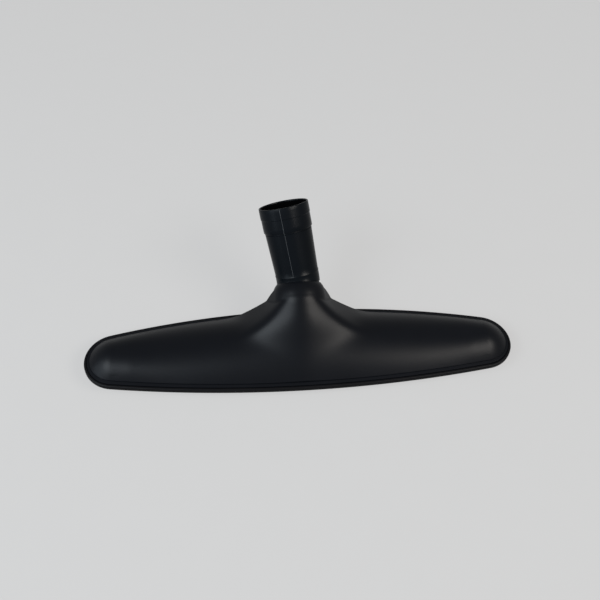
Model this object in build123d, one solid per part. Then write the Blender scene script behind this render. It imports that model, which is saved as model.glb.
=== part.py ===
# Vacuum floor brush: a wide lens-shaped head with bristles and a swivel neck for a wand.
# Millimetres. +X along the head, -Y towards the front edge, +Z up, bristle tips on z = 0.
import os
from math import asin, atan2, cos, degrees, exp, hypot, log, pi, radians, sin, sqrt, tan

from build123d import *

# Head in plan: a front bow and a rear bow that run into two round ends.
head_length = 356.0
end_radius = 25.5
front_bulge = 36.5
rear_bulge = 42.0

# Heights of the rim.
bristle_reach = 10.0
plate_thickness = 4.0
rim_skirt_drop = 0.5
ledge_rise = 1.5
dome_step = 1.2

# Widths of the rim, from its outer edge inwards.
bumper_width = 2.2
bumper_gap = 0.3
ledge_width = 5.0
shell_wall = 2.5
plate_seat_width = 2.0
soft_gap = 0.3

# Bumper strip and its tongue.
bumper_height = 4.6
tongue_height = 2.4
tongue_depth = 1.4

# Dome and hump above the ledge.
dome_rise_middle = 18.0
dome_rise_end = 11.0
roof_wall = 3.0
hump_front = 31.0
hump_start = 0.5
hump_front_slope = 0.905
hump_side_slope = 0.35
hump_side_turn = 0.0163
hump_back_height = 61.0
hump_back_slope = 0.45
hump_back_side_slope = 0.86
hump_ridge_round = 13.0
hump_flank_round = 4.0
hump_crest_round = 3.0
hump_valley_round = 2.4

# Neck: collar on the housing and the barrel of the swivel elbow in it.
collar_elevation = 32.0
collar_y = 42.8
collar_z = 49.6
collar_edge_round = 5.0
collar_root = 22.0
collar_wall = 2.2
hump_cut = 13.0
barrel_radius = 17.95
running_gap = 0.05
lip_end = 10.0
chamber_gap = 0.8
thrust_gap = 0.1
washer_thickness = 1.0
washer_gap = 0.3
ring_thickness = 1.2
ring_groove_depth = 1.0
ring_step = 2.25
ring_opening = 9.0
barrel_tail = 2.5

# Tube of the elbow above the collar.
foot_step = 0.5
foot_height = 3.4
elbow_bend = 22.0
elbow_turn = -26.5
elbow_centre_rise = 3.0
neck_step = 0.55
neck_wall = 2.1
tube_length = 64.5
socket_radius = 19.05
socket_depth = 20.0
socket_step = 1.65
cuff_wall = 1.3
cuff_step = 0.7
cuff_length = 20.5
cuff_round = 0.5

# Brush plate: slots, screws and tufts.
slot_width = 16.0
inner_screw_share = 0.406
outer_screw_inset = 16.5
bridge_half = 4.0
slot_end_gap = 12.0
screw_radius = 1.5
screw_length = 11.0
thread_gap = 0.05
screw_hole_gap = 0.3
screw_head_radius = 2.9
screw_head_height = 1.9
head_gap = 0.3
head_recess = 0.2
boss_radius = 4.0
tuft_inset = 12.5
tuft_pitch = 7.0
tuft_radius = 1.5
tuft_gap = 0.05
tuft_seat = 3.0
tuft_tip_radius = 2.3

# Values that follow from the ones above.
plate_z = bristle_reach
seat_z = plate_z + plate_thickness
skirt_z = plate_z - rim_skirt_drop
ledge_z = seat_z + ledge_rise
foot_z = ledge_z + dome_step
end_place = head_length / 2 - end_radius
middle_y = (rear_bulge - front_bulge) / 2
plate_inset = ledge_width + shell_wall + soft_gap
cavity_inset = ledge_width + shell_wall + plate_seat_width
inner_screw = inner_screw_share * end_place
outer_screw = end_place - outer_screw_inset
middle_slot_end = inner_screw - bridge_half
side_slot_start = inner_screw + bridge_half
side_slot_end = outer_screw - slot_end_gap
ring_radius = barrel_radius + ring_step
chamber_radius = ring_radius + chamber_gap
collar_radius = chamber_radius + collar_wall
neck_radius = barrel_radius - neck_step
bore_root_radius = neck_radius - neck_wall
bore_top_radius = socket_radius - socket_step
cuff_radius = socket_radius + cuff_wall
tube_top_radius = cuff_radius - cuff_step
tail_end = lip_end + 2 * thrust_gap + washer_thickness + ring_thickness + barrel_tail
over_all = collar_z + 2 * collar_radius


def bow_radius(bulge):
    """Radius of a bow that touches both end circles and bulges this far from y = 0."""
    return (end_place**2 + bulge**2 - end_radius**2) / (2 * (bulge - end_radius))


def plan(inset):
    """Outline of the head in plan, moved inwards by the inset."""
    r = end_radius - inset
    points = []
    for side, bulge in ((-1, front_bulge), (1, rear_bulge)):
        big = bow_radius(bulge)
        centre_y = side * (bulge - big)
        reach = hypot(end_place, centre_y)
        points.append((end_place / reach * r, -centre_y / reach * r, side * (bulge - inset)))
    (fx, fy, front), (rx, ry, rear) = points
    wire = Wire([
        ThreePointArc((-end_place - fx, fy), (0, front), (end_place + fx, fy)),
        ThreePointArc((end_place + fx, fy), (end_place + r, 0), (end_place + rx, ry)),
        ThreePointArc((end_place + rx, ry), (0, rear), (-end_place - rx, ry)),
        ThreePointArc((-end_place - rx, ry), (-end_place - r, 0), (-end_place - fx, fy)),
    ])
    return Face(wire)


def slab(inset, low, high):
    """Upright plate with the plan outline."""
    return extrude(Pos(0, 0, low) * plan(inset), high - low)


def edge_distance(x, y):
    """Distance from a point inwards to the plan outline, negative outside it."""
    x = abs(x)
    if x > end_place:
        return end_radius - hypot(x - end_place, y)
    side, bulge = (-1, front_bulge) if y < middle_y else (1, rear_bulge)
    big = bow_radius(bulge)
    centre_y = side * (bulge - big)
    lean = atan2(x, abs(y - centre_y))
    if lean > atan2(end_place, abs(centre_y)):
        return end_radius - hypot(x - end_place, y)
    return big - hypot(x, y - centre_y)


def soft_top(a, b, width):
    """The larger of two heights, with the corner rounded over."""
    return width * log(exp((a - b) / width) + 1) + b if a - b < 40 * width else a


def dome_height(x, y):
    """Height of the plain dome over its foot."""
    half = edge_distance(min(abs(x), end_place), middle_y) - ledge_width
    inside = (edge_distance(x, y) - ledge_width) / max(half, end_radius - ledge_width)
    share = min(abs(x) / end_place, 1.0)
    rise = dome_rise_end + (dome_rise_middle - dome_rise_end) * cos(share * pi / 2) ** 2
    return rise * (1 - (1 - min(inside, 1.0)) ** 2) if inside > 0 else 2 * rise * inside


def hump_height(x, y):
    """Height of the hump: a rounded ridge that runs up into the collar, and two falling flanks."""
    e = radians(collar_elevation)
    climb = hump_start + hump_front_slope * (y + hump_front)
    collar_top = collar_z + collar_radius * cos(e) - foot_z
    collar_line = collar_top + tan(e) * (y - collar_y + collar_radius * sin(e))
    ridge = -soft_top(-climb, -collar_line, hump_crest_round)
    aside = sqrt(x * x + hump_ridge_round**2) - hump_ridge_round
    front = ridge - (hump_side_slope + hump_side_turn * soft_top(y, 0, hump_flank_round)) * aside
    away = sqrt(x * x + hump_flank_round**2)
    back = hump_back_height - hump_back_slope * y - hump_back_side_slope * away
    return -soft_top(-front, -back, hump_crest_round)


def top_height(x, y):
    """Height of the dome and the hump over the dome's foot."""
    return soft_top(hump_height(x, y), dome_height(x, y), hump_valley_round)


def under_top(drop):
    """Block that ends at the top surface, lowered by the drop."""
    columns = 65
    rows = 33
    grid_length = 1.02 * head_length
    grid_depth = 1.2 * (front_bulge + rear_bulge)
    grid = []
    for j in range(rows):
        y = middle_y + (j / (rows - 1) - 0.5) * grid_depth
        line = []
        for i in range(columns):
            x = (i / (columns - 1) - 0.5) * grid_length
            line.append((x, y, foot_z - drop + top_height(x, y)))
        grid.append(line)
    face = Face.make_surface_from_array_of_points(grid, tol=0.06)
    return extrude(face, over_all + drop, dir=(0, 0, -1))


def collar_plane():
    """Plane of the collar's rim, with its normal along the swivel axis."""
    e = radians(collar_elevation)
    return Plane(origin=(0, collar_y, collar_z), x_dir=(1, 0, 0), z_dir=(0, cos(e), sin(e)))


def ring_round(radius, low, high):
    """Cylinder on the swivel axis between two distances from the collar's rim."""
    disc = Pos(0, 0, (low + high) / 2) * Cylinder(radius, high - low)
    return collar_plane().location * disc


def screw_spots():
    """Places of the plate screws on the centre line."""
    return [(side * x, middle_y) for x in (inner_screw, outer_screw) for side in (-1, 1)]


def row_spots(bulge, side):
    """Tuft places along one bow of the plan, both ends included."""
    big = bow_radius(bulge)
    centre_y = side * (bulge - big)
    lean = atan2(end_place, abs(centre_y))
    r = big - tuft_inset
    count = round(2 * lean * r / tuft_pitch)
    steps = [lean * (2 * i / count - 1) for i in range(count + 1)]
    return [(r * sin(t), centre_y + side * r * cos(t)) for t in steps]


def end_spots(side):
    """Tuft places round one end, between the two bows."""
    r = end_radius - tuft_inset
    front = -pi / 2 + atan2(end_place, bow_radius(front_bulge) - front_bulge)
    rear = pi / 2 - atan2(end_place, bow_radius(rear_bulge) - rear_bulge)
    count = round((rear - front) * r / tuft_pitch)
    steps = [front + (rear - front) * i / count for i in range(1, count)]
    return [(side * (end_place + r * cos(t)), r * sin(t)) for t in steps]


def tuft_rows():
    """Tuft places by row."""
    return {
        "front_tufts": row_spots(front_bulge, -1),
        "rear_tufts": row_spots(rear_bulge, 1),
        "left_end_tufts": end_spots(-1),
        "right_end_tufts": end_spots(1),
    }


def make_housing():
    """Shell: rim flange, dome, hump, collar, plate seat and screw bosses."""
    flange = slab(bumper_width + bumper_gap, skirt_z, ledge_z)
    dome = slab(ledge_width, skirt_z, over_all) & under_top(0)
    dome -= ring_round(head_length, -hump_cut, head_length)
    chamber = ring_round(chamber_radius, -hump_cut - roof_wall - collar_wall, -lip_end)
    dome -= chamber
    collar = Pos(0, 0, -collar_root / 2) * Cylinder(collar_radius, collar_root)
    collar = fillet(collar.edges().sort_by(Axis.Z)[-1], collar_edge_round)
    collar = collar_plane().location * collar
    collar -= ring_round(barrel_radius + running_gap, -collar_root, foot_height)
    collar -= chamber
    shell = flange + dome + collar
    cavity = slab(cavity_inset, seat_z - soft_gap, over_all) & under_top(roof_wall)
    cavity -= ring_round(head_length, -hump_cut - roof_wall, head_length)
    shell -= cavity
    shell -= slab(plate_inset - soft_gap, 0, seat_z)
    tongue_mid = (skirt_z + ledge_z) / 2
    half = tongue_height / 2 + soft_gap
    depth = bumper_width + bumper_gap + tongue_depth + soft_gap
    groove = slab(-bumper_gap, tongue_mid - half, tongue_mid + half)
    groove -= slab(depth, tongue_mid - half, tongue_mid + half)
    shell -= groove
    for x, y in screw_spots():
        top = foot_z + dome_height(x, y) - roof_wall / 2
        shell += Pos(x, y, (seat_z + top) / 2) * Cylinder(boss_radius, top - seat_z)
        hole = screw_length + 1
        shell -= Pos(x, y, seat_z + hole / 2 - 1) * Cylinder(screw_radius + thread_gap, hole)
    return shell


def make_bumper():
    """Soft strip round the rim, held by a tongue in the groove of the flange."""
    mid = (skirt_z + ledge_z) / 2
    low = mid - bumper_height / 2
    high = mid + bumper_height / 2
    bead = slab(0, low, high)
    outer = bead.edges().filter_by(Axis.Z, reverse=True)
    bead = fillet(outer, 1.2)
    bead -= slab(bumper_width, low, high)
    tongue = slab(bumper_width / 2, mid - tongue_height / 2, mid + tongue_height / 2)
    tongue -= slab(
        bumper_width + bumper_gap + tongue_depth, mid - tongue_height / 2, mid + tongue_height / 2
    )
    return bead + tongue


def slot(x_low, x_high):
    """Suction slot through the brush plate with round ends."""
    place = Pos((x_low + x_high) / 2, middle_y, plate_z - 1)
    return extrude(place * SlotOverall(x_high - x_low, slot_width), plate_thickness + 2)


def make_brush_plate():
    """Flat plate with the suction slots, the tuft holes and the screw seats."""
    plate = slab(plate_inset, plate_z, seat_z)
    cuts = [slot(-middle_slot_end, middle_slot_end)]
    cuts += [slot(side_slot_start, side_slot_end), slot(-side_slot_end, -side_slot_start)]
    for spots in tuft_rows().values():
        place = plate_z + tuft_seat / 2
        cuts += [Pos(x, y, place) * Cylinder(tuft_radius + tuft_gap, tuft_seat) for x, y in spots]
    for x, y in screw_spots():
        seat = screw_head_height + head_recess
        cuts.append(Pos(x, y, plate_z + seat / 2) * Cylinder(screw_head_radius + head_gap, seat))
        cuts.append(Pos(x, y, seat_z) * Cylinder(screw_radius + screw_hole_gap, plate_thickness * 2))
    return plate - cuts


def make_tuft(x, y):
    """Bound root in the plate and a slightly flared brush below it."""
    root = Pos(x, y, plate_z + tuft_seat / 2) * Cylinder(tuft_radius, tuft_seat)
    free = Pos(x, y, bristle_reach / 2) * Cone(tuft_tip_radius, tuft_radius, bristle_reach)
    return root + free


def make_screw(x, y):
    """Pan-head screw that enters from below."""
    head_z = plate_z + head_recess
    head = Pos(x, y, head_z + screw_head_height / 2) * Cylinder(screw_head_radius, screw_head_height)
    shank_z = head_z + screw_head_height
    return head + Pos(x, y, shank_z + screw_length / 2 - 0.5) * Cylinder(screw_radius, screw_length - 1)


def tube_frame():
    """Place and direction of the tube above its bend."""
    bend = Rot(0, 0, elbow_turn) * Rot(elbow_bend, 0, 0)
    return collar_plane().location * Pos(0, 0, elbow_centre_rise) * bend


def make_elbow():
    """Swivel elbow: barrel in the collar, foot on its rim, bend and tapered tube with its cuff."""
    barrel = ring_round(barrel_radius, -tail_end, thrust_gap)
    foot = ring_round(barrel_radius + foot_step, thrust_gap, foot_height)
    up = tube_frame()
    ball = up * Sphere(neck_radius)
    taper = tube_length - cuff_length
    tube = up * Pos(0, 0, taper / 2) * Cone(neck_radius, tube_top_radius, taper)
    cuff = Pos(0, 0, tube_length - cuff_length / 2) * Cylinder(cuff_radius, cuff_length)
    cuff = fillet(cuff.edges().sort_by(Axis.Z)[-1], cuff_round)
    elbow = barrel + foot + ball + tube + up * cuff
    bore_top = tube_length - socket_depth
    elbow -= up * Sphere(bore_root_radius)
    elbow -= up * Pos(0, 0, bore_top / 2) * Cone(bore_root_radius, bore_top_radius, bore_top)
    elbow -= up * Pos(0, 0, tube_length - socket_depth / 2) * Cylinder(socket_radius, socket_depth)
    elbow -= ring_round(bore_root_radius, -tail_end - neck_radius, elbow_centre_rise)
    low = -lip_end - thrust_gap * 3 - washer_thickness - ring_thickness
    high = low + ring_thickness + 2 * thrust_gap
    groove = ring_round(barrel_radius + ring_step, low, high)
    groove -= ring_round(barrel_radius - ring_groove_depth, low, high)
    return elbow - groove


def make_washer():
    """Thrust washer between the collar's lip and the snap ring."""
    low = -lip_end - thrust_gap - washer_thickness
    ring = ring_round(ring_radius, low, low + washer_thickness)
    return ring - ring_round(barrel_radius + washer_gap, low, low + washer_thickness)


def make_snap_ring():
    """Split ring that snaps into the barrel's groove and keeps the elbow in the collar."""
    low = -lip_end - thrust_gap * 2 - washer_thickness - ring_thickness
    ring = ring_round(ring_radius, low, low + ring_thickness)
    ring -= ring_round(barrel_radius - ring_groove_depth + running_gap, low, low + ring_thickness)
    gap = Pos(0, ring_radius, low + ring_thickness / 2) * Box(ring_opening, ring_radius * 2, ring_thickness * 3)
    return ring - collar_plane().location * gap


def middle_of_depth():
    """Middle of the object's depth: half way from the front edge to the rear of the cuff."""
    axis = Plane(tube_frame()).z_dir
    start = Plane(tube_frame()).origin.Y
    cuff_rim = start + (tube_length - cuff_round) * axis.Y + cuff_round
    rear = cuff_rim + (cuff_radius - cuff_round) * sqrt(1 - axis.Y**2)
    return (rear - front_bulge) / 2


def write(node, shapes):
    """One file for one node, with the origin under the middle of the object."""
    place = Pos(0, -middle_of_depth(), 0)
    solids = [place * shape for shape in shapes]
    whole = solids[0] if len(solids) == 1 else Compound(label=node, children=solids)
    export_step(whole, f"parts/{node}.step")


os.makedirs("parts", exist_ok=True)
write("housing", [make_housing()])
write("bumper_strip", [make_bumper()])
write("brush_plate", [make_brush_plate()])
write("swivel_elbow", [make_elbow()])
write("thrust_washer", [make_washer()])
write("snap_ring", [make_snap_ring()])
write("plate_screws", [make_screw(x, y) for x, y in screw_spots()])
for row, spots in tuft_rows().items():
    write(row, [make_tuft(x, y) for x, y in spots])
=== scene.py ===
from math import atan2, cos, exp, hypot, pi, radians, sin, sqrt, tan

import bmesh
import bpy
import numpy as np
from mathutils import Matrix, Vector


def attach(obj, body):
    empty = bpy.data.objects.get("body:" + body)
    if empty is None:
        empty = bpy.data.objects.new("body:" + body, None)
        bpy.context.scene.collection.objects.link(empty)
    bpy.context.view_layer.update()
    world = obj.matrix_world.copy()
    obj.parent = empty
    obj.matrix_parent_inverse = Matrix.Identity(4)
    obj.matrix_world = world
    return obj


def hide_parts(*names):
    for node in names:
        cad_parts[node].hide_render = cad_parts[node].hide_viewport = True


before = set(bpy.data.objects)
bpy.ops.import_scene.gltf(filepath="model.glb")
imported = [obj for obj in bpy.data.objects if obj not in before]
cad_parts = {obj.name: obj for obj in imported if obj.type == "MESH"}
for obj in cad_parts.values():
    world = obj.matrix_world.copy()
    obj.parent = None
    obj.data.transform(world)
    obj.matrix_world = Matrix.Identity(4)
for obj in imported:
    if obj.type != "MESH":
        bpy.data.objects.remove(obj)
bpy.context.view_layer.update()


# The housing is the wide black shell of the brush head: a rim flange, a low dome and the
# hump that rises to the collar of the neck. It is one injection moulding with a finely
# grained satin face, open underneath, where the brush plate closes it.

END_PLACE, END_RADIUS = 152.5, 25.5
FRONT_BULGE, REAR_BULGE = 36.5, 42.0
DEPTH_MIDDLE = 32.0236
MIDDLE_Y = (REAR_BULGE - FRONT_BULGE) / 2
SKIRT_Z, SEAT_Z, LEDGE_Z, FOOT_Z = 9.5, 14.0, 15.5, 16.7
LEDGE_WIDTH, ROOF_WALL, CAVITY_INSET = 5.0, 3.0, 9.5
COLLAR_RISE = radians(32.0)
COLLAR_RIM = np.array([0.0, 42.8, 49.6])
SWIVEL_AXIS = np.array([0.0, cos(COLLAR_RISE), sin(COLLAR_RISE)])
SWIVEL_SIDE = np.array([0.0, sin(COLLAR_RISE), -cos(COLLAR_RISE)])
HUMP_REACH, RIDGE_RADIUS = 30.0, 22.3


def in_row(points):
    """Points in millimetres about the head's middle, as metres in the row's frame."""
    return (np.asarray(points, float) - [0, DEPTH_MIDDLE, 0]) / 1000.0


def bow(bulge):
    """Radius of a bow that runs into both end circles."""
    return (END_PLACE**2 + bulge**2 - END_RADIUS**2) / (2 * (bulge - END_RADIUS))


def rim_stations(along_bow, round_end):
    """Places round the rim: outer point, outward direction and the point of the spine behind it."""
    stations = []
    spread = [0.6 * s + 0.4 * s**3 for s in np.linspace(-1, 1, along_bow + 1)]
    for side, bulge in ((-1, FRONT_BULGE), (1, REAR_BULGE)):
        big = bow(bulge)
        centre_y = side * (bulge - big)
        lean = atan2(END_PLACE, abs(centre_y))
        for t in spread if side < 0 else spread[::-1]:
            out = np.array([sin(t * lean), side * cos(t * lean)])
            spine = np.array([t * END_PLACE, MIDDLE_Y * cos(t * pi / 2)])
            stations.append((np.array([0, centre_y]) + big * out, out, spine))
        way = -side
        start = side * (pi / 2 - lean)
        other = REAR_BULGE if side < 0 else FRONT_BULGE
        stop = -side * (pi / 2 - atan2(END_PLACE, bow(other) - other))
        for k in range(1, round_end):
            a = start + (stop - start) * k / round_end
            out = np.array([way * cos(a), sin(a)])
            centre = np.array([way * END_PLACE, 0])
            stations.append((centre + END_RADIUS * out, out, centre))
    return stations


def inside_rim(x, y):
    """Distance from a point inwards to the rim's outer edge."""
    x = abs(x)
    side, bulge = (-1, FRONT_BULGE) if y < MIDDLE_Y else (1, REAR_BULGE)
    big = bow(bulge)
    centre_y = side * (bulge - big)
    if x > END_PLACE or atan2(x, abs(y - centre_y)) > atan2(END_PLACE, abs(centre_y)):
        return END_RADIUS - hypot(x - END_PLACE, y)
    return big - hypot(x, y - centre_y)


def soft_top(a, b, width):
    """The larger of two heights, with the corner rounded over."""
    return np.logaddexp(a / width, b / width) * width


def dome_height(x, y):
    """Height of the plain dome over its foot."""
    half = inside_rim(min(abs(x), END_PLACE), MIDDLE_Y) - LEDGE_WIDTH
    share = (inside_rim(x, y) - LEDGE_WIDTH) / max(half, END_RADIUS - LEDGE_WIDTH)
    rise = 11.0 + 7.0 * cos(min(abs(x) / END_PLACE, 1.0) * pi / 2) ** 2
    return rise * (1 - (1 - min(share, 1.0)) ** 2) if share > 0 else 2 * rise * share


def collar_radius(s):
    """Outer radius of the flared collar at a distance s from its rim, negative downwards."""
    return 18.25 + 4.5 * (1 - exp(min(s, 0.0) / 5.0)) - 0.03 * max(-11.0 - s, 0.0) ** 2


def collar_height(x, y):
    """Height of the collar's upper side: under its skin at the rim, just over it at the foot."""
    z, lean = 30.0, y - COLLAR_RIM[1]
    for _ in range(8):
        s = lean * SWIVEL_AXIS[1] + (z + FOOT_Z - COLLAR_RIM[2]) * SWIVEL_AXIS[2]
        r = collar_radius(max(s, -32.0)) - 0.12 + 0.14 * min(max((-3.0 - s) / 10.0, 0.0), 1.0)
        near = min(abs(x), 0.93 * r)
        rise = sqrt(r * r - near * near) - (abs(x) - near) * 2.53
        z = COLLAR_RIM[2] - FOOT_Z + (rise + lean * SWIVEL_AXIS[2]) / SWIVEL_AXIS[1]
    return z


def top_height(x, y):
    """Height of the dome, the hump and the collar's upper side, blended into each other."""
    climb = y + HUMP_REACH
    top_line = COLLAR_RIM[2] + RIDGE_RADIUS * cos(COLLAR_RISE) - FOOT_Z
    top_line += tan(COLLAR_RISE) * (y - COLLAR_RIM[1] + RIDGE_RADIUS * sin(COLLAR_RISE))
    aside = sqrt(x * x + 169.0) - 13.0
    front = -soft_top(-climb, -top_line, 1.4) - (0.35 + 0.0163 * soft_top(y, 0.0, 4.0)) * aside
    back = 54.2 - 0.45 * y - 0.71 * sqrt(x * x + 16.0) + 14.0 * exp(-((x / 19.0) ** 2))
    hump = -soft_top(-front, -back, 2.4)
    cut = COLLAR_RIM[2] - FOOT_Z + (-11.0 - SWIVEL_AXIS[1] * (y - COLLAR_RIM[1])) / SWIVEL_AXIS[2]
    hump = -soft_top(-hump, -cut, 2.0)
    height = soft_top(hump, dome_height(x, y), 2.4)
    if abs(x) > 45 or y < -10:
        return height
    rim_cut = cut + 8.0 / SWIVEL_AXIS[2]
    blended = soft_top(height, collar_height(x, y), 0.5)
    return -soft_top(-blended, -rim_cut, 0.8)


def skin(name, rings, closed=True):
    """Mesh of quads between rings of the same number of points."""
    rings = [in_row(r) for r in rings]
    count = len(rings[0])
    verts = np.vstack(rings)
    turns = count if closed else count - 1
    faces = []
    for j in range(len(rings) - 1):
        low, high = j * count, (j + 1) * count
        for i in range(turns):
            k = (i + 1) % count
            faces.append((low + i, low + k, high + k, high + i))
    mesh = bpy.data.meshes.new(name)
    mesh.from_pydata(verts.tolist(), [], faces)
    made = bpy.data.objects.new(name, mesh)
    bpy.context.scene.collection.objects.link(made)
    shape = bmesh.new()
    shape.from_mesh(mesh)
    bmesh.ops.remove_doubles(shape, verts=shape.verts, dist=1e-6)
    bmesh.ops.recalc_face_normals(shape, faces=shape.faces)
    shape.to_mesh(mesh)
    shape.free()
    return made


def smooth(obj, angle):
    """Smooth shading with the true edges kept sharp."""
    obj.data.shade_smooth()
    obj.data.set_sharp_from_angle(angle=radians(angle))


def cut_away(obj, cutter):
    """Takes one closed shape out of another and keeps a plain mesh."""
    tool = obj.modifiers.new("cut", "BOOLEAN")
    tool.operation = "DIFFERENCE"
    tool.solver = "EXACT"
    tool.object = cutter
    graph = bpy.context.evaluated_depsgraph_get()
    cut = bpy.data.meshes.new_from_object(obj.evaluated_get(graph))
    obj.modifiers.clear()
    obj.data = cut
    bpy.data.objects.remove(cutter)


def join_into(main, *others):
    """Puts the meshes of several objects into the first one."""
    shape = bmesh.new()
    for part in (main, *others):
        shape.from_mesh(part.data)
    shape.to_mesh(main.data)
    shape.free()
    for part in others:
        bpy.data.objects.remove(part)


def turned_rings(profile, steps=96):
    """Closed rings of a section turned about the swivel axis: pairs of radius and distance."""
    angles = [2 * pi * i / steps for i in range(steps)]
    across = np.array([1.0, 0, 0])
    rings = []
    for r, s in profile:
        middle = COLLAR_RIM + s * SWIVEL_AXIS
        rings.append([middle + r * (cos(a) * across + sin(a) * SWIVEL_SIDE) for a in angles])
    return rings


stations = rim_stations(220, 34)


def at_inset(inset, height):
    """One ring round the rim at an inset and a height."""
    return [[*(p - inset * out), height] for p, out, spine in stations]


rings = []
inner_steps, outer_steps = 22, 66
for k in range(inner_steps + 1):
    ring = []
    for p, out, spine in stations:
        edge = p - CAVITY_INSET * out
        x, y = spine + (edge - spine) * (k / inner_steps)
        ring.append([x, y, FOOT_Z - ROOF_WALL + top_height(x, y)])
    rings.append(ring)
rings += [at_inset(CAVITY_INSET, SEAT_Z), at_inset(7.5, SEAT_Z), at_inset(7.5, SKIRT_Z + 0.2)]
rings += [at_inset(7.3, SKIRT_Z), at_inset(2.8, SKIRT_Z), at_inset(2.5, SKIRT_Z + 0.3)]
rings += [at_inset(2.5, 11.0), at_inset(4.2, 11.0), at_inset(4.2, 14.0), at_inset(2.5, 14.0)]
rings += [at_inset(2.5, LEDGE_Z - 0.35), at_inset(2.6, LEDGE_Z - 0.1), at_inset(2.85, LEDGE_Z)]
rings += [at_inset(4.75, LEDGE_Z), at_inset(4.93, LEDGE_Z + 0.07), at_inset(5.0, LEDGE_Z + 0.25)]
for k in range(outer_steps + 1):
    ring = []
    share = (k / outer_steps) ** 1.25
    for p, out, spine in stations:
        edge = p - LEDGE_WIDTH * out
        x, y = edge + (spine - edge) * share
        ring.append([x, y, FOOT_Z + top_height(x, y)])
    rings.append(ring)
housing = skin("housing_shell", rings)
passage = skin("passage", turned_rings([(0.01, -18.5), (21.2, -18.5), (21.2, 6), (0.01, 6)]))
cut_away(housing, passage)
collar_section = [(21.0, -21.0)]
depths = (19.5, 18, 16, 14, 12, 10, 8, 6.5, 5, 4, 3, 2.2, 1.5, 1, 0.6, 0.3)
collar_section += [(collar_radius(-depth), -depth) for depth in depths]
collar_section += [(18.36, -0.07), (18.25, 0.0)]
collar_section += [(18.08, -0.05), (18.0, -0.25), (18.0, -10.0), (21.0, -10.0)]
collar = skin("collar", turned_rings(collar_section + [collar_section[0]]))
join_into(housing, collar)


def grained_plastic(name, colour, gloss, shine, grain):
    """Satin black moulding: fine spark-eroded grain, faint cloudy gloss and light handling wear."""
    made = bpy.data.materials.new(name)
    made.use_nodes = True
    nodes, links = made.node_tree.nodes, made.node_tree.links
    shader = nodes["Principled BSDF"]
    shader.inputs["IOR"].default_value = 1.49
    shader.inputs["Specular IOR Level"].default_value = shine
    place = nodes.new("ShaderNodeTexCoord")
    clouds = nodes.new("ShaderNodeTexNoise")
    clouds.inputs["Scale"].default_value = 22.0
    clouds.inputs["Detail"].default_value = 5.0
    links.new(place.outputs["Object"], clouds.inputs["Vector"])
    gloss_range = nodes.new("ShaderNodeMapRange")
    gloss_range.inputs["To Min"].default_value = gloss - 0.05
    gloss_range.inputs["To Max"].default_value = gloss + 0.06
    links.new(clouds.outputs["Fac"], gloss_range.inputs["Value"])
    links.new(gloss_range.outputs["Result"], shader.inputs["Roughness"])
    shade = nodes.new("ShaderNodeMix")
    shade.data_type = "RGBA"
    shade.inputs["A"].default_value = (*[c * 0.8 for c in colour], 1)
    shade.inputs["B"].default_value = (*[c * 1.25 for c in colour], 1)
    links.new(clouds.outputs["Fac"], shade.inputs["Factor"])
    links.new(shade.outputs["Result"], shader.inputs["Base Color"])
    pits = nodes.new("ShaderNodeTexNoise")
    pits.inputs["Scale"].default_value = 2600.0
    pits.inputs["Detail"].default_value = 3.0
    links.new(place.outputs["Object"], pits.inputs["Vector"])
    relief = nodes.new("ShaderNodeBump")
    relief.inputs["Strength"].default_value = grain
    relief.inputs["Distance"].default_value = 0.00006
    links.new(pits.outputs["Fac"], relief.inputs["Height"])
    links.new(relief.outputs["Normal"], shader.inputs["Normal"])
    return made


shell_finish = grained_plastic("shell black", (0.0018, 0.0021, 0.0029), 0.36, 0.06, 0.35)
housing.data.materials.clear()
housing.data.materials.append(shell_finish)
smooth(housing, 38)
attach(housing, "head")
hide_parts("housing")


# The bumper strip is a soft black strip round the rim, which keeps the head from marking
# furniture. It is an extruded profile: a rounded bead outside, and a tongue that snaps into
# the groove of the flange.

bead = [(2.2, 10.5), (1.9, 10.2)]
bead += [(1.2 - 1.2 * sin(t), 11.4 - 1.2 * cos(t)) for t in np.linspace(0, pi / 2, 7)]
bead += [(1.2 - 1.2 * cos(t), 13.6 + 1.2 * sin(t)) for t in np.linspace(0, pi / 2, 7)]
bead += [(1.9, 14.8), (2.2, 14.5), (2.2, 13.7), (3.9, 13.7), (3.9, 11.3), (2.2, 11.3), (2.2, 10.5)]
bumper = skin("bumper_strip_bead", [at_inset(inset, z) for inset, z in bead])
bumper_finish = grained_plastic("bumper black", (0.002, 0.002, 0.0024), 0.45, 0.05, 0.15)
bumper.data.materials.append(bumper_finish)
smooth(bumper, 40)
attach(bumper, "head")
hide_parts("bumper_strip")


# The swivel elbow is the tapered tube that takes the wand. It is a moulding of its own: a
# barrel that turns in the collar, a shoulder on its edge, a slight bend, and a tube that
# widens to a proud cuff round the wand's socket. A parting line runs along its front.

BEND, TURN = radians(22.0), radians(-26.5)
BEND_ARC = 25.0
elbow_point = COLLAR_RIM + 3.0 * SWIVEL_AXIS
sideways = np.array([1.0, 0, 0])
lean_way = -sin(BEND) * (-sin(TURN) * sideways + cos(TURN) * SWIVEL_SIDE)
tube_axis = lean_way + cos(BEND) * SWIVEL_AXIS
bend_axis = np.cross(SWIVEL_AXIS, tube_axis)
bend_axis /= np.linalg.norm(bend_axis)
bend_reach = BEND_ARC * tan(BEND / 2)


def turned(vector, axis, angle):
    """A vector turned about an axis."""
    return (
        vector * cos(angle)
        + np.cross(axis, vector) * sin(angle)
        + axis * np.dot(axis, vector) * (1 - cos(angle))
    )


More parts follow.
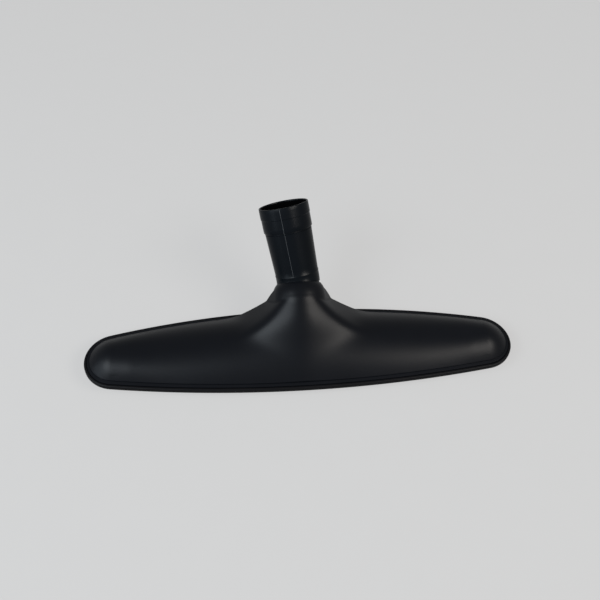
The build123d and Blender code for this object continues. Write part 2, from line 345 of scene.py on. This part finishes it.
def along_elbow(s):
    """Centre and direction of the elbow's centreline; s is 0 at the bend's middle."""
    arc = BEND_ARC * BEND
    begin = s + bend_reach
    if begin <= 0:
        return elbow_point + s * SWIVEL_AXIS, SWIVEL_AXIS
    past = begin - arc
    if past >= 0:
        return elbow_point + (bend_reach + past) * tube_axis, tube_axis
    angle = begin / BEND_ARC
    way = turned(SWIVEL_AXIS, bend_axis, angle)
    inward = np.cross(bend_axis, SWIVEL_AXIS)
    centre = elbow_point - bend_reach * SWIVEL_AXIS + BEND_ARC * inward
    return centre - BEND_ARC * turned(inward, bend_axis, angle), way


SEAM = radians(11.4)
round_tube = [SEAM + 2 * pi * i / 144 for i in range(144)]


def elbow_ring(s, r, angles=round_tube):
    """Ring round the elbow's centreline; r is one radius, or one for each angle."""
    centre, way = along_elbow(s)
    first = np.cross(bend_axis, way)
    reach = np.broadcast_to(r, len(angles))
    return [centre + q * (cos(a) * first + sin(a) * bend_axis) for a, q in zip(angles, reach)]


MOUTH = 64.5 - 2 * bend_reach + BEND_ARC * BEND
CUFF_LOW = MOUTH - 20.5


def tube_radius(s):
    """Outer radius of the tapered tube."""
    return 17.5 + 1.6 * max(s, 0.0) / 42.0


outer = [(-17.9, 17.6), (-17.5, 17.95), (-10.0, 17.95), (-3.6, 17.95), (-3.3, 17.3), (-2.0, 17.3)]
outer += [(-1.8, 17.75), (-1.5, 17.9)] + [(s, 17.9) for s in (-1.0, 0.0, 1.0, 2.0, 3.0, 4.5, 6.0)]
outer += [(6.5, 18.02), (6.9, 18.06), (7.3, 17.98), (7.8, tube_radius(7.8))]
outer += [(s, tube_radius(s)) for s in (12, 17, 22, 28, 34, 40)]
under = tube_radius(CUFF_LOW)
outer += [(CUFF_LOW - 1.3, under), (CUFF_LOW - 1.1, under - 0.5), (CUFF_LOW - 0.1, under - 0.5)]
outer += [(CUFF_LOW, under + 0.15), (CUFF_LOW + 0.1, 19.75), (CUFF_LOW + 0.45, 19.95)]
outer += [(CUFF_LOW + 4, 20.0), (MOUTH - 9.4, 20.02), (MOUTH - 9.0, 20.35), (MOUTH - 3, 20.35)]
outer += [(MOUTH - 0.6, 20.35), (MOUTH - 0.25, 20.28), (MOUTH - 0.05, 20.1), (MOUTH, 19.9)]
outer += [(MOUTH, 19.55), (MOUTH - 0.15, 19.3), (MOUTH - 0.5, 19.1), (MOUTH - 0.9, 19.05)]
outside = len(outer)
outer += [(MOUTH - 6, 19.05), (MOUTH - 20.0, 19.05), (MOUTH - 20.05, 18.8), (MOUTH - 20.1, 17.4)]
outer += [(s, 15.3 + 2.1 * s / 46.0) for s in (44, 36, 28, 20, 12, 6, 3.2)]
outer += [(s, 15.3) for s in (2.5, 1.5, 0.5, -0.5, -1.5, -2.5, -3.2, -6, -10, -17.9)]
outer += [(-17.9, 17.6)]
elbow = skin("elbow_tube", [elbow_ring(s, r) for s, r in outer])
# The faces inside the tube take the third finish: the same plastic painted darker and without
# reflection, as painted shade for the deep inside of the tube.
for face in elbow.data.polygons:
    face.material_index = 2 if face.index // 144 >= outside - 1 else 0
line = [(s, r) for s, r in outer[:outside] if 7.8 <= s <= MOUTH - 0.6]
line_angles = [SEAM - radians(0.75), SEAM, SEAM + radians(0.75)]
line_rings = [elbow_ring(s, (r - 0.1, r + 0.15, r - 0.1), line_angles) for s, r in line]
line_start = elbow_ring(7.0, 17.7, [SEAM] * 3)
line_end = elbow_ring(MOUTH - 0.3, 20.1, [SEAM] * 3)
line_rings = [line_start, *line_rings, line_end]
parting_line = skin("parting_line", line_rings)
for face in parting_line.data.polygons:
    face.material_index = 1
elbow_finish = grained_plastic("elbow black", (0.0016, 0.0022, 0.0030), 0.28, 0.045, 0.2)
# The parting line's ridge is real. Its lighter colour and stronger reflection are a painted
# highlight along the ridge, on the same black plastic.
seam_painted_highlight_finish = grained_plastic("parting line", (0.022, 0.025, 0.028), 0.45, 0.25, 0.2)
# Painted shade: the bore is darker than the outside and has no reflection, standing in for the
# shade deep inside the tube.
bore_painted_shade_finish = grained_plastic("bore painted shade", (0.0006, 0.0006, 0.0007), 0.6, 0.0, 0.2)
join_into(elbow, parting_line)
for finish in (elbow_finish, seam_painted_highlight_finish, bore_painted_shade_finish):
    elbow.data.materials.append(finish)
smooth(elbow, 35)
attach(elbow, "neck")
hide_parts("swivel_elbow")


# The brush plate is a flat moulded plate under the housing, with the suction slots along its
# middle. It is held by screws into the housing's bosses and carries the tufts in its holes.

plate_finish = grained_plastic("plate black", (0.006, 0.006, 0.0065), 0.48, 0.2, 0.4)
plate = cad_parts["brush_plate"]
plate.data.materials.clear()
plate.data.materials.append(plate_finish)


# The thrust washer is a plain turned ring of white acetal between the collar's lip and the
# snap ring, on which the neck turns.

washer_finish = grained_plastic("washer white", (0.62, 0.61, 0.57), 0.35, 0.5, 0.1)
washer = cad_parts["thrust_washer"]
washer.data.materials.clear()
washer.data.materials.append(washer_finish)


# The snap ring and the screws are steel. The split ring springs into the barrel's groove and
# keeps the elbow in the collar; the cross-recessed screws hold the brush plate from below.

steel_finish = bpy.data.materials.new("bright steel")
steel_finish.use_nodes = True
steel_nodes, steel_links = steel_finish.node_tree.nodes, steel_finish.node_tree.links
steel_shader = steel_nodes["Principled BSDF"]
steel_shader.inputs["Base Color"].default_value = (0.55, 0.55, 0.54, 1)
steel_shader.inputs["Metallic"].default_value = 1.0
steel_place = steel_nodes.new("ShaderNodeTexCoord")
steel_marks = steel_nodes.new("ShaderNodeTexNoise")
steel_marks.inputs["Scale"].default_value = 900.0
steel_range = steel_nodes.new("ShaderNodeMapRange")
steel_range.inputs["To Min"].default_value = 0.25
steel_range.inputs["To Max"].default_value = 0.45
steel_relief = steel_nodes.new("ShaderNodeBump")
steel_relief.inputs["Strength"].default_value = 0.2
steel_relief.inputs["Distance"].default_value = 0.00003
steel_links.new(steel_place.outputs["Object"], steel_marks.inputs["Vector"])
steel_links.new(steel_marks.outputs["Fac"], steel_range.inputs["Value"])
steel_links.new(steel_range.outputs["Result"], steel_shader.inputs["Roughness"])
steel_links.new(steel_marks.outputs["Fac"], steel_relief.inputs["Height"])
steel_links.new(steel_relief.outputs["Normal"], steel_shader.inputs["Normal"])
snap_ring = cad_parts["snap_ring"]
snap_ring.data.materials.clear()
snap_ring.data.materials.append(steel_finish)


# The plate screws are small steel pan-head screws with a cross recess. They go in from below
# through the brush plate and into the bosses of the housing.


def node(tree, kind, sockets=(), **settings):
    """One node of a tree, with its settings and its linked or plain inputs."""
    made = tree.nodes.new(kind)
    for key, value in settings.items():
        setattr(made, key, value)
    for place, value in dict(sockets).items():
        if hasattr(value, "is_output"):
            tree.links.new(value, made.inputs[place])
        else:
            made.inputs[place].default_value = value
    return made


def new_tree(name, values):
    """Node tree with a geometry input, named values and a geometry output."""
    tree = bpy.data.node_groups.new(name, "GeometryNodeTree")
    face = tree.interface
    face.new_socket("Geometry", in_out="INPUT", socket_type="NodeSocketGeometry")
    for label, kind, value in values:
        face.new_socket(label, in_out="INPUT", socket_type=kind).default_value = value
    face.new_socket("Geometry", in_out="OUTPUT", socket_type="NodeSocketGeometry")
    return tree


def grown(name, places, tree, values):
    """Plain mesh that a node tree makes from a set of places."""
    seeds = bpy.data.meshes.new(name)
    seeds.from_pydata(in_row(places).tolist(), [], [])
    made = bpy.data.objects.new(name, seeds)
    bpy.context.scene.collection.objects.link(made)
    growth = made.modifiers.new("growth", "NODES")
    growth.node_group = tree
    for item in tree.interface.items_tree:
        if item.item_type == "SOCKET" and item.in_out == "INPUT" and item.name in values:
            growth[item.identifier] = values[item.name]
    graph = bpy.context.evaluated_depsgraph_get()
    plain = bpy.data.meshes.new_from_object(made.evaluated_get(graph))
    made.modifiers.clear()
    made.data = plain
    return made


HEAD_SEAT = 10.2
CROWN_HEIGHT = 0.0008
INNER_SCREW, OUTER_SCREW = 0.406 * END_PLACE, END_PLACE - 16.5
screw_places = [
    [side * x, MIDDLE_Y, HEAD_SEAT] for x in (INNER_SCREW, OUTER_SCREW) for side in (-1, 1)
]
screw_tree = new_tree("screws", [
    ("Head radius", "NodeSocketFloat", 0.0029),
    ("Head height", "NodeSocketFloat", 0.0019),
    ("Crown radius", "NodeSocketFloat", 0.0021),
    ("Shank radius", "NodeSocketFloat", 0.00149),
    ("Shank length", "NodeSocketFloat", 0.0098),
    ("Recess width", "NodeSocketFloat", 0.0006),
    ("Recess reach", "NodeSocketFloat", 0.0032),
])
screw_given = screw_tree.nodes.new("NodeGroupInput")
crown = node(screw_tree, "GeometryNodeMeshCone", {
    "Vertices": 40,
    "Radius Top": screw_given.outputs["Head radius"],
    "Radius Bottom": screw_given.outputs["Crown radius"],
    "Depth": CROWN_HEIGHT,
})
rest_of_head = node(
    screw_tree, "ShaderNodeMath", {0: screw_given.outputs["Head height"], 1: CROWN_HEIGHT},
    operation="SUBTRACT",
)
band = node(screw_tree, "GeometryNodeMeshCone", {
    "Vertices": 40,
    "Radius Top": screw_given.outputs["Head radius"],
    "Radius Bottom": screw_given.outputs["Head radius"],
    "Depth": rest_of_head.outputs[0],
})
band_up = node(screw_tree, "GeometryNodeTransform", {
    "Geometry": band.outputs["Mesh"], "Translation": (0, 0, CROWN_HEIGHT),
})
shank = node(screw_tree, "GeometryNodeMeshCone", {
    "Vertices": 32,
    "Radius Top": screw_given.outputs["Shank radius"],
    "Radius Bottom": screw_given.outputs["Shank radius"],
    "Depth": screw_given.outputs["Shank length"],
})
shank_up = node(screw_tree, "GeometryNodeTransform", {
    "Geometry": shank.outputs["Mesh"], "Translation": (0, 0, 0.0018),
})
long_bar = node(screw_tree, "ShaderNodeCombineXYZ", {
    "X": screw_given.outputs["Recess reach"], "Y": screw_given.outputs["Recess width"], "Z": 0.0018,
})
cross_bar = node(screw_tree, "ShaderNodeCombineXYZ", {
    "X": screw_given.outputs["Recess width"], "Y": screw_given.outputs["Recess reach"], "Z": 0.0018,
})
bar_one = node(screw_tree, "GeometryNodeMeshCube", {"Size": long_bar.outputs[0]})
bar_two = node(screw_tree, "GeometryNodeMeshCube", {"Size": cross_bar.outputs[0]})
whole_head = node(screw_tree, "GeometryNodeMeshBoolean", operation="UNION")
for part in (crown.outputs["Mesh"], band_up.outputs[0], shank_up.outputs[0]):
    screw_tree.links.new(part, whole_head.inputs["Mesh 2"])
recessed = node(
    screw_tree, "GeometryNodeMeshBoolean", {"Mesh 1": whole_head.outputs["Mesh"]},
    operation="DIFFERENCE",
)
for part in (bar_one.outputs["Mesh"], bar_two.outputs["Mesh"]):
    screw_tree.links.new(part, recessed.inputs["Mesh 2"])
screw_points = node(screw_tree, "GeometryNodeMeshToPoints", {
    "Mesh": screw_given.outputs["Geometry"],
})
screw_set = node(screw_tree, "GeometryNodeInstanceOnPoints", {
    "Points": screw_points.outputs["Points"], "Instance": recessed.outputs["Mesh"],
})
screw_solid = node(screw_tree, "GeometryNodeRealizeInstances", {"Geometry": screw_set.outputs[0]})
screw_painted = node(screw_tree, "GeometryNodeSetMaterial", {
    "Geometry": screw_solid.outputs[0], "Material": steel_finish,
})
screw_result = screw_tree.nodes.new("NodeGroupOutput")
screw_tree.links.new(screw_painted.outputs[0], screw_result.inputs["Geometry"])
screws = grown("plate_screw_heads", screw_places, screw_tree, {})
smooth(screws, 30)
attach(screws, "head")
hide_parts("plate_screws")


# The bristles are tufts of black nylon fibre, bound at the root and pushed into the holes of
# the brush plate, in one row along each bow and round both ends. The fibres spread a little
# towards their cut tips, which the whole brush rests on.

TUFT_INSET, TUFT_PITCH = 12.5, 7.0
PLATE_Z = 10.0
tuft_places = []
for side, bulge in ((-1, FRONT_BULGE), (1, REAR_BULGE)):
    big = bow(bulge)
    centre_y = side * (bulge - big)
    lean = atan2(END_PLACE, abs(centre_y))
    reach = big - TUFT_INSET
    count = round(2 * lean * reach / TUFT_PITCH)
    for i in range(count + 1):
        t = lean * (2 * i / count - 1)
        tuft_places.append([reach * sin(t), centre_y + side * reach * cos(t), PLATE_Z + 0.5])
for side in (-1, 1):
    reach = END_RADIUS - TUFT_INSET
    front = -pi / 2 + atan2(END_PLACE, bow(FRONT_BULGE) - FRONT_BULGE)
    rear = pi / 2 - atan2(END_PLACE, bow(REAR_BULGE) - REAR_BULGE)
    count = round((rear - front) * reach / TUFT_PITCH)
    for i in range(1, count):
        t = front + (rear - front) * i / count
        tuft_places.append([side * (END_PLACE + reach * cos(t)), reach * sin(t), PLATE_Z + 0.5])

fibre_finish = bpy.data.materials.new("bristle black")
fibre_finish.use_nodes = True
fibre_nodes, fibre_links = fibre_finish.node_tree.nodes, fibre_finish.node_tree.links
fibre_shader = fibre_nodes["Principled BSDF"]
fibre_shader.inputs["IOR"].default_value = 1.53
fibre_place = fibre_nodes.new("ShaderNodeTexCoord")
fibre_shades = fibre_nodes.new("ShaderNodeTexNoise")
fibre_shades.inputs["Scale"].default_value = 700.0
fibre_mix = fibre_nodes.new("ShaderNodeMix")
fibre_mix.data_type = "RGBA"
fibre_mix.inputs["A"].default_value = (0.008, 0.008, 0.009, 1)
fibre_mix.inputs["B"].default_value = (0.03, 0.028, 0.026, 1)
fibre_range = fibre_nodes.new("ShaderNodeMapRange")
fibre_range.inputs["To Min"].default_value = 0.35
fibre_range.inputs["To Max"].default_value = 0.6
fibre_links.new(fibre_place.outputs["Object"], fibre_shades.inputs["Vector"])
fibre_links.new(fibre_shades.outputs["Fac"], fibre_mix.inputs["Factor"])
fibre_links.new(fibre_mix.outputs["Result"], fibre_shader.inputs["Base Color"])
fibre_links.new(fibre_shades.outputs["Fac"], fibre_range.inputs["Value"])
fibre_links.new(fibre_range.outputs["Result"], fibre_shader.inputs["Roughness"])

tuft_tree = new_tree("bristle tufts", [
    ("Fibres in a tuft", "NodeSocketInt", 30),
    ("Fibre length", "NodeSocketFloat", 0.0103),
    ("Fibre radius", "NodeSocketFloat", 0.00019),
    ("Tuft radius", "NodeSocketFloat", 0.00135),
    ("Spread", "NodeSocketFloat", 55.0),
])


def times(first, second):
    """Product of two values in the bristle tree."""
    return node(tuft_tree, "ShaderNodeMath", {0: first, 1: second}, operation="MULTIPLY")


given = tuft_tree.nodes.new("NodeGroupInput")
points = node(tuft_tree, "GeometryNodeMeshToPoints", {"Mesh": given.outputs["Geometry"]})
many = node(
    tuft_tree,
    "GeometryNodeDuplicateElements",
    {"Geometry": points.outputs["Points"], "Amount": given.outputs["Fibres in a tuft"]},
    domain="POINT",
)
which = node(tuft_tree, "GeometryNodeInputIndex")
turn_random = node(
    tuft_tree, "FunctionNodeRandomValue", {2: 0.0, 3: 2 * pi, "ID": which.outputs[0], "Seed": 3},
    data_type="FLOAT",
)
reach_random = node(
    tuft_tree, "FunctionNodeRandomValue", {2: 0.0, 3: 1.0, "ID": which.outputs[0], "Seed": 11},
    data_type="FLOAT",
)
root = node(tuft_tree, "ShaderNodeMath", {0: reach_random.outputs[1]}, operation="SQRT")
radius = times(root.outputs[0], given.outputs["Tuft radius"])
cosine = node(tuft_tree, "ShaderNodeMath", {0: turn_random.outputs[1]}, operation="COSINE")
sine = node(tuft_tree, "ShaderNodeMath", {0: turn_random.outputs[1]}, operation="SINE")
off_x = times(cosine.outputs[0], radius.outputs[0])
off_y = times(sine.outputs[0], radius.outputs[0])
offset = node(tuft_tree, "ShaderNodeCombineXYZ", {"X": off_x.outputs[0], "Y": off_y.outputs[0]})
spread_points = node(
    tuft_tree,
    "GeometryNodeSetPosition",
    {"Geometry": many.outputs["Geometry"], "Offset": offset.outputs[0]},
)
lean_x = times(off_y.outputs[0], given.outputs["Spread"])
lean_back = times(given.outputs["Spread"], -1.0)
lean_y = times(off_x.outputs[0], lean_back.outputs[0])
lean_both = node(
    tuft_tree,
    "ShaderNodeCombineXYZ",
    {"X": lean_x.outputs[0], "Y": lean_y.outputs[0], "Z": turn_random.outputs[1]},
)
stray = node(
    tuft_tree,
    "FunctionNodeRandomValue",
    {0: (-0.05, -0.05, 0.0), 1: (0.05, 0.05, 0.0), "ID": which.outputs[0], "Seed": 29},
    data_type="FLOAT_VECTOR",
)
lean_all = node(
    tuft_tree, "ShaderNodeVectorMath", {0: lean_both.outputs[0], 1: stray.outputs[0]},
    operation="ADD",
)
fibre = node(
    tuft_tree,
    "GeometryNodeMeshCone",
    {
        "Vertices": 5,
        "Side Segments": 1,
        "Radius Top": given.outputs["Fibre radius"],
        "Radius Bottom": given.outputs["Fibre radius"],
        "Depth": given.outputs["Fibre length"],
    },
)
down = times(given.outputs["Fibre length"], -1.0)
down_vector = node(tuft_tree, "ShaderNodeCombineXYZ", {"Z": down.outputs[0]})
hanging = node(
    tuft_tree,
    "GeometryNodeTransform",
    {"Geometry": fibre.outputs["Mesh"], "Translation": down_vector.outputs[0]},
)
placed = node(
    tuft_tree,
    "GeometryNodeInstanceOnPoints",
    {
        "Points": spread_points.outputs[0],
        "Instance": hanging.outputs[0],
        "Rotation": lean_all.outputs[0],
    },
)
solid = node(tuft_tree, "GeometryNodeRealizeInstances", {"Geometry": placed.outputs[0]})
painted = node(
    tuft_tree, "GeometryNodeSetMaterial", {"Geometry": solid.outputs[0], "Material": fibre_finish}
)
result = tuft_tree.nodes.new("NodeGroupOutput")
tuft_tree.links.new(painted.outputs[0], result.inputs["Geometry"])
tuft_values = {"Fibres in a tuft": 30, "Fibre length": 0.0103}
bristles = grown("bristle_fibres", tuft_places, tuft_tree, tuft_values)
smooth(bristles, 60)
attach(bristles, "head")
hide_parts("front_tufts", "rear_tufts", "left_end_tufts", "right_end_tufts")


# The floor and the backdrop are one plain pale surface, with two soft lamps in front and
# above, a cooler one on the left and a warmer one on the right, and a dim cool card far left.

BACKGROUND = 0.6105


def plain_backdrop(nodes, links, lit, seen, output, share):
    """Shows the plain background to the camera and to mirror rays, the lit surface to the rest."""
    rays = nodes.new("ShaderNodeLightPath")
    total = None
    for ray in ("Is Camera Ray", "Is Glossy Ray", "Is Transmission Ray"):
        part = nodes.new("ShaderNodeMath")
        part.operation = "MULTIPLY_ADD"
        part.use_clamp = True
        part.inputs[1].default_value = share
        links.new(rays.outputs[ray], part.inputs[0])
        if total is None:
            part.inputs[2].default_value = 0.0
        else:
            links.new(total.outputs[0], part.inputs[2])
        total = part
    mix = nodes.new("ShaderNodeMixShader")
    links.new(total.outputs[0], mix.inputs["Fac"])
    links.new(lit, mix.inputs[1])
    links.new(seen, mix.inputs[2])
    links.new(mix.outputs["Shader"], output.inputs["Surface"])


floor_mesh = bpy.data.meshes.new("floor")
floor_mesh.from_pydata([(-4, -4, 0), (4, -4, 0), (4, 4, 0), (-4, 4, 0)], [], [(0, 1, 2, 3)])
floor = bpy.data.objects.new("floor", floor_mesh)
bpy.context.scene.collection.objects.link(floor)
floor_finish = bpy.data.materials.new("pale floor")
floor_finish.use_nodes = True
floor_nodes, floor_links = floor_finish.node_tree.nodes, floor_finish.node_tree.links
floor_shader = floor_nodes["Principled BSDF"]
floor_shader.inputs["Roughness"].default_value = 0.9
floor_shader.inputs["Specular IOR Level"].default_value = 0.1
floor_place = floor_nodes.new("ShaderNodeTexCoord")
floor_cloud = floor_nodes.new("ShaderNodeTexNoise")
floor_cloud.inputs["Scale"].default_value = 40.0
floor_tint = floor_nodes.new("ShaderNodeMix")
floor_tint.data_type = "RGBA"
floor_tint.inputs["A"].default_value = (0.34, 0.34, 0.34, 1)
floor_tint.inputs["B"].default_value = (0.36, 0.36, 0.36, 1)
floor_links.new(floor_place.outputs["Object"], floor_cloud.inputs["Vector"])
floor_links.new(floor_cloud.outputs["Fac"], floor_tint.inputs["Factor"])
floor_links.new(floor_tint.outputs["Result"], floor_shader.inputs["Base Color"])
floor_glow = floor_nodes.new("ShaderNodeEmission")
floor_glow.inputs["Color"].default_value = (BACKGROUND, BACKGROUND, BACKGROUND, 1)
plain_backdrop(
    floor_nodes,
    floor_links,
    floor_shader.outputs["BSDF"],
    floor_glow.outputs["Emission"],
    floor_nodes["Material Output"],
    0.85,
)
floor_mesh.materials.append(floor_finish)

world = bpy.data.worlds.new("studio")
world.use_nodes = True
world_nodes, world_links = world.node_tree.nodes, world.node_tree.links
world_light = world_nodes["Background"]
world_light.inputs["Color"].default_value = (0.95, 0.98, 1.0, 1)
world_light.inputs["Strength"].default_value = 0.35
world_seen = world_nodes.new("ShaderNodeBackground")
world_seen.inputs["Color"].default_value = (BACKGROUND, BACKGROUND, BACKGROUND, 1)
plain_backdrop(
    world_nodes,
    world_links,
    world_light.outputs["Background"],
    world_seen.outputs["Background"],
    world_nodes["World Output"],
    1.0,
)
bpy.context.scene.world = world


def soft_lamp(name, place, aim, size, watts, colour):
    """Large soft lamp aimed at a point."""
    light = bpy.data.lights.new(name, "AREA")
    light.shape = "RECTANGLE"
    light.size, light.size_y = size
    light.energy = watts
    light.color = colour
    lamp = bpy.data.objects.new(name, light)
    lamp.location = place
    lamp.rotation_mode = "QUATERNION"
    lamp.rotation_quaternion = (Vector(aim) - Vector(place)).to_track_quat("-Z", "Y")
    bpy.context.scene.collection.objects.link(lamp)
    return lamp


soft_lamp("left lamp", (-0.9, -0.62, 1.08), (-0.05, 0, 0.03), (0.8, 0.5), 33, (0.86, 0.94, 1.0))
soft_lamp("right lamp", (0.9, -0.62, 1.08), (0.05, 0, 0.03), (0.8, 0.5), 33, (1.0, 0.95, 0.89))
soft_lamp("left card", (-1.15, -0.38, 0.5), (0, 0.02, 0.06), (0.9, 0.7), 11, (0.78, 0.9, 1.0))


# The camera stands at the photograph's angle, high in front of the brush and turned a little.
# Its long lens keeps the head's two ends nearly the same size.

azimuth, elevation, roll, distance = radians(-7.8), radians(53.0), radians(3.5), 0.7
target = Vector((0.0038, 0.056 - DEPTH_MIDDLE / 1000, 0.0095))
back = Vector((sin(azimuth) * cos(elevation), -cos(azimuth) * cos(elevation), sin(elevation)))
right = Vector((cos(azimuth), sin(azimuth), 0.0))
up = back.cross(right)
right_turned = cos(roll) * right + sin(roll) * up
up_turned = -sin(roll) * right + cos(roll) * up
lens = bpy.data.cameras.new("camera")
lens.lens = 47.8
camera = bpy.data.objects.new("camera", lens)
turning = Matrix((right_turned, up_turned, back)).transposed().to_4x4()
camera.matrix_world = Matrix.Translation(target + back * distance) @ turning
bpy.context.scene.collection.objects.link(camera)
bpy.context.scene.camera = camera
bpy.context.scene.view_settings.view_transform = "Standard"
